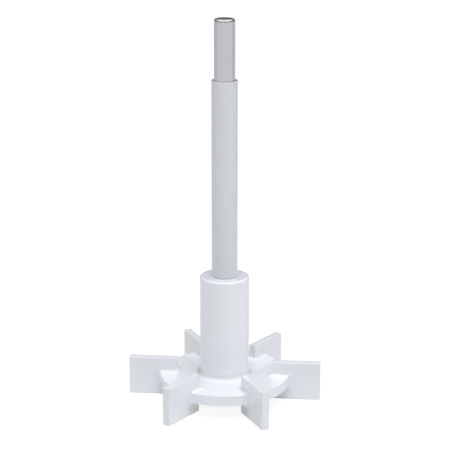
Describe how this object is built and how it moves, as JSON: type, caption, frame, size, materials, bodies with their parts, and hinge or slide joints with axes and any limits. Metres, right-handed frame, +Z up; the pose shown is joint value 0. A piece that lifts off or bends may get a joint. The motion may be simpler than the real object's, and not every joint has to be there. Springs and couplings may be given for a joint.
{
  "type": "stirrer shaft",
  "caption": "Laboratory overhead stirrer shaft: steel core in a PTFE sleeve, bare steel chuck end on top, and a hubbed disc turbine with upright radial blades at the foot.",
  "frame": {"origin": "on the shaft axis, level with the feet of the blades that the part stands on", "axes": "+Z up the shaft towards the bare steel chuck end; +X lies 6 degrees from one blade"},
  "size_m": [0.0748, 0.0696, 0.1491],
  "materials": {
    "stainless_steel": "ground and polished stainless rod",
    "ptfe_sleeve": "smooth white PTFE tube",
    "ptfe_turbine": "machined white PTFE, waxy sheen"
  },
  "bodies": {
    "root": {"steel_core": "stainless_steel", "ptfe_sleeve": "ptfe_sleeve", "turbine": "ptfe_turbine"}
  },
  "joints": []
}
